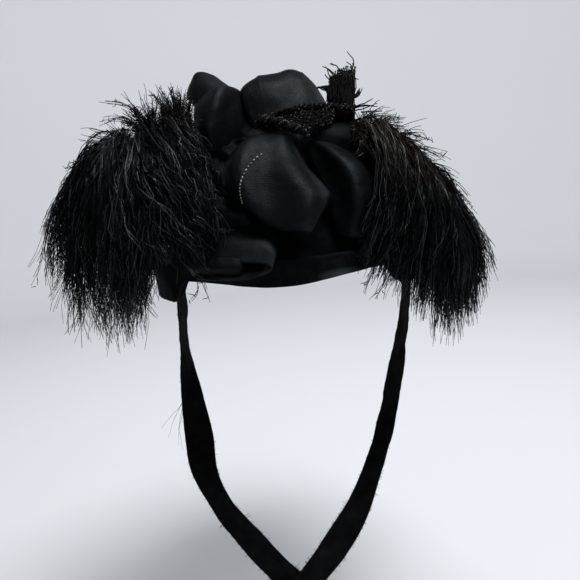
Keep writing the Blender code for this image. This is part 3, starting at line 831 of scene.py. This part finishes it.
# Guide barbs fan from the outer side to the inner side of each plume.  Points run from the quill to the
# tip, and each is (x, front y, back y, z).
PLUME_LEFT = [
    [(-90, -62, -58, 35), (-110, -64, -56, 26), (-128, -66, -58, 2), (-140, -66, -58, -30)],
    [(-88, -65, -54, 36), (-104, -76, -50, 18), (-118, -80, -46, -17), (-127, -80, -50, -57)],
    [(-85, -68, -52, 37), (-96, -88, -38, 12), (-105, -95, -32, -25), (-111, -90, -40, -71)],
    [(-81, -70, -50, 38), (-85, -95, -40, 10), (-90, -103, -42, -28), (-94, -98, -50, -72)],
    [(-76, -70, -52, 38), (-74, -98, -50, 11), (-77, -106, -56, -25), (-84, -104, -60, -64)],
    [(-73, -70, -53, 38), (-69, -98, -58, 13), (-69, -107, -68, -12), (-72, -106, -72, -34)],
    [(-71, -70, -54, 39), (-64, -98, -64, 16), (-57, -108, -80, -8), (-57, -110, -84, -33)],
    [(-65, -70, -54, 39), (-54, -95, -74, 19), (-44, -106, -90, -3), (-36, -112, -96, -28)],
    [(-59, -68, -54, 40), (-48, -88, -74, 26), (-41, -98, -86, 8), (-37, -106, -92, -14)],
    [(-53, -66, -54, 40), (-45, -80, -72, 32), (-40, -88, -78, 22), (-38, -94, -84, 8)],
]
PLUME_RIGHT = [
    [(42, -72, -60, 34), (53, -86, -70, 18), (56, -94, -80, 0), (46, -100, -88, -20)],
    [(52, -72, -58, 31), (62, -88, -64, 12), (61, -98, -78, -14), (48, -104, -90, -40)],
    [(59, -70, -54, 27), (69, -86, -52, 7), (73, -96, -62, -20), (62, -98, -72, -58)],
    [(65, -68, -50, 23), (77, -84, -44, 1), (84, -90, -46, -32), (78, -90, -50, -77)],
    [(70, -66, -48, 18), (84, -78, -40, -5), (93, -80, -38, -38), (89, -80, -42, -84)],
    [(75, -64, -50, 13), (90, -72, -44, -10), (101, -74, -42, -42), (98, -74, -44, -85)],
    [(80, -62, -54, 7), (95, -66, -52, -14), (107, -66, -52, -42), (107, -66, -52, -81)],
    [(84, -60, -57, 2), (98, -62, -58, -15), (110, -62, -58, -34), (117, -62, -58, -54)],
]
# Barbs that sweep across the face of each plume, over the others
SWEEP_LEFT = [
    [(-103, -72, -66, 20), (-94, -92, -84, -8), (-88, -104, -96, -36), (-84, -106, -98, -64)],
    [(-97, -73, -66, 24), (-84, -95, -86, -2), (-76, -106, -98, -20), (-72, -110, -102, -34)],
    [(-90, -74, -66, 28), (-72, -97, -88, 6), (-56, -108, -100, -14), (-42, -112, -104, -38)],
    [(-82, -75, -66, 31), (-64, -97, -88, 14), (-50, -108, -100, -6), (-39, -114, -106, -32)],
    [(-72, -75, -66, 35), (-56, -93, -84, 24), (-45, -101, -92, 8), (-37, -106, -98, -10)],
]
SWEEP_RIGHT = [
    [(56, -76, -66, 30), (58, -91, -82, 11), (53, -99, -90, -12), (45, -103, -96, -34)],
    [(65, -76, -66, 21), (66, -93, -84, 1), (58, -101, -92, -22), (47, -104, -98, -50)],
    [(76, -74, -64, 10), (79, -91, -82, -12), (72, -97, -88, -36), (62, -97, -90, -60)],
    [(90, -70, -62, -6), (95, -83, -74, -27), (90, -87, -80, -50), (84, -84, -78, -76)],
]
PLUME_STEPS = 11
STRANDS_A_BARB = 5
# How many of the strands take each of the three barb finishes
PLUME_SHARES, TUFT_SHARES = (0.56, 0.29, 0.15), (0.5, 0.35, 0.15)


def barb_points(guides, fan, layer, t):
    """Points of barbs: fan and layer (0 back to 1 front) choose the barb, t the places along it."""
    across = through(np.asarray(guides, float), fan)
    spans = across.shape[1] - 1
    ends = np.concatenate([2 * across[:, :1] - across[:, 1:2], across,
                           2 * across[:, -1:] - across[:, -2:-1]], 1)
    place = np.clip(t, 0.0, 1.15) * spans
    i = np.minimum(place.astype(int), spans - 1)
    s = (place - i)[..., None]
    routes = blend(*(np.take_along_axis(ends, (i + k)[..., None], 1) for k in range(4)), s)
    y = routes[..., 2] + (routes[..., 1] - routes[..., 2]) * layer[..., None]
    return np.stack([routes[..., 0], y, routes[..., 3]], -1)


def groom(guides, clumps, per_clump, wave, rng):
    """Barbs that wander across the plume, each a narrow bundle of strands, as a barb with its fuzz is."""
    own = np.repeat(np.arange(clumps), per_clump)
    count = clumps * per_clump
    run = np.linspace(0, 1, PLUME_STEPS)[None]
    fan = (np.arange(clumps) + rng.uniform(0, 1, clumps)) / clumps
    layer = rng.beta(0.9, 0.6, clumps)
    start = rng.uniform(0, 0.5, clumps) ** 1.6
    reach = 0.6 + 0.44 * rng.uniform(0, 1, clumps) ** 0.6
    t = start[own][:, None] + (reach[own] * rng.uniform(0.9, 1.04, count) - start[own])[:, None] * run
    routes = barb_points(guides, np.clip(fan[own] + rng.normal(0, 0.005, count), 0, 1),
                         np.clip(layer[own] + rng.normal(0, 0.02, count), 0, 1), t)
    lift = np.sin(math.pi * run ** 0.6) * (1 - run) * rng.uniform(-4.0, 10.0, clumps)[own][:, None]
    routes[..., 2] += lift
    root = rng.normal(0, 1, (clumps, 3))[own][:, None] * (2.0, 3.0, 2.4) * (1 - run)[..., None]
    drift = rng.normal(0, 1, (clumps, 3))[own][:, None] * (3.0, 2.5, 2.5) * (run ** 2)[..., None]
    phase = rng.uniform(0, math.tau, (clumps, 3))[own] + rng.normal(0, 0.4, (count, 3))
    pace = rng.uniform(0.5, 1.7, clumps)[own][:, None]
    sway = np.sin(phase[:, None] + (pace * run * math.tau)[..., None]) * (2.2, 1.6, 1.2)
    twist = rng.uniform(0, math.tau, (clumps, 3))[own] + rng.normal(0, 1.0, (count, 3))
    curl = np.sin(twist[:, None] + (rng.uniform(2.0, 4.5, clumps)[own][:, None] * run * math.tau)[..., None])
    part = rng.normal(0, 1, (count, 3))[:, None] * (1.0, 0.9, 0.7) * run[..., None]
    frizz = np.cumsum(rng.normal(0, 0.24, routes.shape), 1)
    bend = wave * (sway * (0.3 + run[..., None]) + curl * (0.3 + 0.6 * run[..., None]))
    return routes + root + drift + part + bend + frizz * (0.3 + 0.5 * run[..., None])


def make_plume(side, hanging, sweeping, clumps, wave):
    """One drooping plume, in pieces of a size that stays light to handle."""
    rng = np.random.default_rng(SEED + ord(side[0]))
    thick = np.concatenate([[0.12, 0.2], np.linspace(0.25, 0.14, PLUME_STEPS - 2)])
    layers = (("hanging_a", hanging, clumps, ["plume_" + side]), ("hanging_b", hanging, clumps, []),
              ("sweeping", sweeping, clumps // 2, []))
    for layer, guides, count, node in layers:
        routes = groom(guides, count, STRANDS_A_BARB, wave, rng)
        picks = rng.choice(len(BARBS), len(routes), p=PLUME_SHARES)
        radii = thick[None] * rng.uniform(0.75, 1.15, len(routes))[:, None]
        name = "plume_%s_%s" % (side, layer)
        mesh = strand_mesh(name, routes, radii, materials=BARBS, picks=picks)
        finish_piece(name, mesh, "ostrich_feather", node)


# Short tufts at the top of a plume, and a few long stray barbs: root, middle, tip, how many, their spread
TUFTS_LEFT = [
    ((-70, -64, 36), (-72, -63, 44), (-79, -62, 53), 60, 5.0),
    ((-66, -64, 36), (-68, -63, 44), (-67, -62, 51), 60, 5.0),
    ((-74, -66, 36), (-78, -65, 42), (-83, -64, 45), 50, 5.0),
    ((-60, -64, 37), (-62, -63, 45), (-60, -62, 52), 60, 5.0),
    ((-57, -62, 37), (-59, -61, 48), (-67, -60, 59), 30, 1.8),
    ((-54, -62, 37), (-56, -61, 49), (-62, -60, 62), 26, 1.6),
    ((-52, -62, 37), (-54, -61, 49), (-56, -60, 62), 36, 1.8),
    ((-50, -62, 37), (-52, -61, 48), (-51, -60, 58), 44, 2.2),
    ((-47, -62, 38), (-48, -61, 46), (-46, -60, 56), 44, 2.4),
    ((-54, -64, 36), (-54, -63, 42), (-55, -62, 48), 70, 4.5),
    ((-84, -64, 34), (-88, -63, 38), (-92, -62, 38), 60, 5.0),
    ((-92, -63, 31), (-98, -62, 34), (-106, -61, 32), 40, 4.0),
    ((-72, -64, 38), (-80, -63, 53), (-96, -62, 58), 7, 0.8),
    ((-74, -64, 38), (-84, -63, 47), (-99, -62, 46), 9, 1.2),
    ((-96, -63, 26), (-110, -62, 26), (-122, -61, 22), 12, 1.4),
    ((-56, -66, 38), (-50, -72, 41), (-45, -74, 37), 50, 5.0),
    ((-50, -110, -26), (-42, -113, -42), (-39, -113, -57), 3, 0.7),
    ((-48, -110, -28), (-44, -113, -46), (-49, -113, -53), 3, 0.9),
    ((-98, -66, 24), (-127, -68, 4), (-146, -70, -44), 6, 1.6),
    ((-102, -66, 22), (-128, -68, -8), (-139, -70, -60), 5, 2.0),
    ((-50, -64, 38), (-45, -70, 38), (-42, -74, 30), 50, 5.0),
]
TUFTS_RIGHT = [
    ((48, -68, 31), (54, -67, 35), (61, -66, 33), 40, 4.0),
    ((55, -66, 28), (62, -65, 31), (69, -64, 26), 44, 4.0),
    ((60, -64, 25), (68, -63, 26), (75, -62, 20), 50, 4.5),
    ((65, -63, 21), (74, -62, 20), (81, -62, 12), 50, 4.5),
    ((70, -62, 16), (80, -61, 13), (88, -60, 3), 56, 4.5),
    ((77, -61, 9), (88, -60, 3), (97, -60, -6), 50, 4.0),
    ((58, -62, 29), (65, -61, 33), (72, -60, 33), 8, 2.0),
    ((66, -62, 23), (78, -61, 23), (90, -60, 18), 9, 1.5),
    ((72, -62, 18), (86, -61, 14), (98, -60, 8), 8, 1.5),
    ((86, -60, 2), (98, -60, -7), (108, -60, -18), 14, 2.0),
    ((46, -74, 28), (50, -82, 22), (48, -86, 14), 40, 6.0),
    ((58, -100, -30), (54, -105, -50), (45, -107, -63), 3, 0.6),
    ((53, -100, -28), (47, -106, -45), (41, -107, -54), 3, 0.8),
    ((76, -62, 14), (96, -61, -2), (113, -61, -28), 8, 1.5),
]
TUFT_STEPS = 8
SIDE_HAIRS = 2


def make_tufts(side, tufts):
    """The short frizzy barbs at the top of a plume, with hairs at their sides, and its few stray barbs."""
    rng = np.random.default_rng(SEED + 40 + ord(side[0]))
    steps = TUFT_STEPS
    run = np.linspace(0, 1, steps)
    routes = []
    for root, middle, tip, count, spread in tufts:
        spine = through([root, middle, tip], run)
        for _ in range(count):
            reach = rng.uniform(0.5, 1.05)
            line = through([root, middle, tip], run * reach)
            fan = rng.normal(0, 1, 3) * spread * run[:, None] ** 1.2
            curl = np.sin(rng.uniform(0, math.tau, 3) + run[:, None] * rng.uniform(2, 7)) * run[:, None] * 0.9
            routes.append(line + fan + curl + np.cumsum(rng.normal(0, 0.2, (steps, 3)), 0))
        for _ in range(count * SIDE_HAIRS):
            at = rng.uniform(0.05, 1.0)
            foot = through(spine, at)[0] + rng.normal(0, 0.3, 3)
            way = rng.normal(0, 1, 3)
            way = way / np.linalg.norm(way) * rng.uniform(1.5, 4.0)
            routes.append(foot + way * run[:, None] + np.cumsum(rng.normal(0, 0.15, (steps, 3)), 0))
    picks = rng.choice(len(BARBS), len(routes), p=TUFT_SHARES)
    name = "plume_%s_tufts" % side
    mesh = strand_mesh(name, routes, np.linspace(0.3, 0.15, steps), materials=BARBS, picks=picks)
    finish_piece(name, mesh, "ostrich_feather", [])


# ---------------------------------------------------------------- ties

# Centre, direction of the width, and the share of the width that lies open
TIE_LEFT = [
    ((-78.2, 14, -56), (0.14, 1, 0), 1.0),
    ((-78.8, 14, -76), (0.14, 1, 0), 1.0),
    ((-79, 9, -105), (0.1, 1, 0), 1.0),
    ((-75, -5, -136), (0.6, 0.8, 0.1), 0.95),
    ((-70.5, -19, -161), (1, 0.35, 0.1), 0.95),
    ((-67, -32, -180), (1, 0.2, 0.0), 0.84),
    ((-56, -42, -200), (0.85, 0, 0.5), 0.7),
    ((-42, -50, -216), (0.72, -0.1, 0.68), 0.85),
    ((-27, -56, -233), (0.68, -0.1, 0.72), 0.9),
    ((-12, -60, -247), (0.6, 0, 0.8), 0.85),
    ((3, -60, -255), (0.4, 0, 0.9), 0.8),
]
TIE_RIGHT = [
    ((78.2, 14, -56), (-0.14, 1, 0), 1.0),
    ((78.6, 15, -76), (-0.14, 1, 0), 1.0),
    ((74, 14, -104), (-0.2, 1, 0), 1.0),
    ((65, 4, -136), (-0.4, 0.9, 0), 0.95),
    ((54, -16, -166), (-0.5, 0.8, 0.1), 0.8),
    ((42, -34, -188), (-0.8, 0.5, 0.3), 0.65),
    ((32, -45, -205), (-0.8, 0.3, 0.5), 0.75),
    ((20, -53, -220), (-0.7, 0.1, 0.7), 0.9),
    ((6, -59, -235), (-0.68, 0, 0.72), 0.85),
    ((-9, -63.5, -249), (-0.6, 0, 0.8), 0.8),
    ((-25, -64, -258), (-0.4, 0, 0.9), 0.8),
]


def tie_rows(path):
    """Rows of four points across a tie, from one edge to the other."""
    rows = []
    for centre, across, share in path:
        half = Vector(across).normalized() * 0.5 * TIE_WIDTH * share
        middle = Vector(centre)
        rows.append([middle - half, middle - half * 0.33, middle + half * 0.33, middle + half])
    return rows


# Long loose threads from the outer edge of the left tie
LONG_WISPS = [
    [(-82, -6, -140), (-88, -6, -150), (-94, -8, -163)],
    [(-82, -7, -142), (-86, -8, -154), (-88, -10, -168)],
    [(-82, -8, -144), (-85, -9, -158), (-84, -12, -172)],
    [(-82, -7, -141), (-90, -7, -148), (-98, -8, -156)],
]


def make_fray(name, tie, wisps):
    """Short loose pile and threads along the worn edges of a tie, longer towards its lower end."""
    rng = np.random.default_rng(SEED + len(name))
    run = np.linspace(0, 1, 4)[:, None]
    bm = bmesh.new()
    bm.from_mesh(tie.data)
    routes = []
    for vertex in bm.verts:
        inner = [edge.other_vert(vertex) for edge in vertex.link_edges if not edge.is_boundary]
        if not vertex.is_boundary or len(inner) != 1:
            continue
        foot = np.array(vertex.co) / MM
        out = np.array((vertex.co - inner[0].co).normalized())
        wear = 0.35 + smoothstep(-150, -210, foot[2])
        for _ in range(2):
            way = out * rng.gamma(2.0, 0.35) * wear + rng.normal(0, 0.35, 3)
            routes.append(foot - 0.5 * out + rng.normal(0, 0.3, 3) + way * run)
    bm.free()
    finish_piece(name, strand_mesh(name, routes, [0.2, 0.18, 0.14, 0.1]), "velvet_ribbon", [], LACE)
    if wisps:
        longer = unsteady(wisps, 0.3, rng)
        mesh = strand_mesh(name + "_wisps", longer, np.linspace(0.16, 0.08, WISP_STEPS))
        finish_piece(name + "_wisps", mesh, "velvet_ribbon", [], LACE)


def make_ties():
    """The two velvet ties, which cross under the chin."""
    for side, path in (("left", TIE_LEFT), ("right", TIE_RIGHT)):
        tie = make_cloth("velvet_tie_" + side, tie_rows(path), 200, 16, "velvet_ribbon", TIE_VELVET,
                         ["tie_" + side], wall=TIE_WALL, held="hung", wrinkles=((1.4, 16.0), (0.4, 4.0)))
        make_fray("tie_fray_" + side, tie, LONG_WISPS if side == "left" else [])


# ---------------------------------------------------------------- stage, lights and camera

FLOOR_RADIUS, FLOOR_LEVEL = 1.6, -0.31
# Steps of the floor's curve up into the backdrop: how far each rises, and how much it widens
BACKDROP_STEPS = ((0.02, 1.07), (0.07, 1.06), (0.16, 1.05), (0.30, 1.03), (0.6, 1.01), (1.2, 1.0))


def make_stage():
    """A plain pale floor that curves up all round into a pale backdrop."""
    bm = bmesh.new()
    bmesh.ops.create_circle(bm, cap_ends=True, segments=96, radius=FLOOR_RADIUS)
    for rise, widen in BACKDROP_STEPS:
        rim = [edge for edge in bm.edges if edge.is_boundary]
        ring = bmesh.ops.extrude_edge_only(bm, edges=rim)["geom"]
        corners = [item for item in ring if isinstance(item, bmesh.types.BMVert)]
        bmesh.ops.scale(bm, vec=(widen, widen, 1.0), verts=corners)
        bmesh.ops.translate(bm, vec=(0, 0, rise), verts=corners)
    bmesh.ops.translate(bm, vec=(0, 0, FLOOR_LEVEL), verts=bm.verts)
    mesh = bpy.data.meshes.new("pale_floor")
    bm.to_mesh(mesh)
    bm.free()
    mesh.shade_smooth()
    floor = bpy.data.objects.new("pale_floor", mesh)
    bpy.context.scene.collection.objects.link(floor)
    # Matt painted board: pale, slightly cool grey
    material, tree, shader = start_material("matt_pale_board", Roughness=0.95, Specular_IOR_Level=0.1)
    shader.inputs["Base Color"].default_value = linear("#bfc1c5")
    shader.inputs["Emission Color"].default_value = linear("#dcdfe2")
    shader.inputs["Emission Strength"].default_value = 0.17
    mesh.materials.append(material)


def area_light(name, size, power, place, aim):
    """A square panel of light: size in metres, power in watts, turned from its place to its aim."""
    light = bpy.data.lights.new(name, "AREA")
    light.shape = "SQUARE"
    light.size = size
    light.energy = power
    lamp = bpy.data.objects.new(name, light)
    lamp.location = place
    lamp.rotation_euler = (Vector(aim) - Vector(place)).to_track_quat("-Z", "Y").to_euler()
    bpy.context.scene.collection.objects.link(lamp)


def make_lights():
    """A dim room, a panel above on the right, one on the backdrop, and a weak fill from the front."""
    world = bpy.data.worlds.new("soft_room")
    bpy.context.scene.world = world
    world.use_nodes = True
    background = world.node_tree.nodes["Background"]
    background.inputs["Color"].default_value = linear("#e6e8ea")
    background.inputs["Strength"].default_value = 0.17
    area_light("ceiling_panel", 0.6, 24.0, (0.34, -0.42, 1.05), (0, -0.02, 0))
    area_light("backdrop_panel", 1.3, 11.0, (0, 0.55, 1.0), (0, 1.75, 0.3))
    area_light("front_fill", 0.9, 1.0, (0.5, -1.3, 0.35), (0, 0, 0))


# In metres, and degrees from looking level along +Y
CAMERA_PLACE = (0.0175, -0.4683, 0.0025)
CAMERA_TURN, CAMERA_TILT, CAMERA_ROLL = 2.31, -8.66, -5.2


def make_camera():
    """A camera level with the top of the head, close to the front and looking slightly down."""
    camera = bpy.data.objects.new("camera", bpy.data.cameras.new("camera"))
    bpy.context.scene.collection.objects.link(camera)
    camera.data.sensor_width = 36.0
    camera.data.lens = 43.45
    camera.data.clip_start = 0.01
    turn = Matrix.Rotation(math.radians(CAMERA_TURN), 4, "Z")
    tilt = Matrix.Rotation(math.radians(90) + math.radians(CAMERA_TILT), 4, "X")
    roll = Matrix.Rotation(math.radians(CAMERA_ROLL), 4, "Z")
    camera.matrix_world = Matrix.Translation(CAMERA_PLACE) @ (turn @ tilt @ roll)
    bpy.context.scene.camera = camera


make_camera()
make_stage()
make_lights()
bpy.context.scene.view_settings.view_transform = "Standard"
make_crown()
make_brim()
make_loops()
make_bow_centre()
make_stitches()
make_braid("braid_upper", "jet_braid_upper", JET_BRAID_UPPER, 2.4, 60)
make_braid("braid_lower", "jet_braid_lower", JET_BRAID_LOWER, 3.0, 44)
make_lace()
make_aigrette()
make_plume("left", PLUME_LEFT, SWEEP_LEFT, 390, 1.5)
make_plume("right", PLUME_RIGHT, SWEEP_RIGHT, 360, 0.7)
make_tufts("left", TUFTS_LEFT)
make_tufts("right", TUFTS_RIGHT)
make_ties()
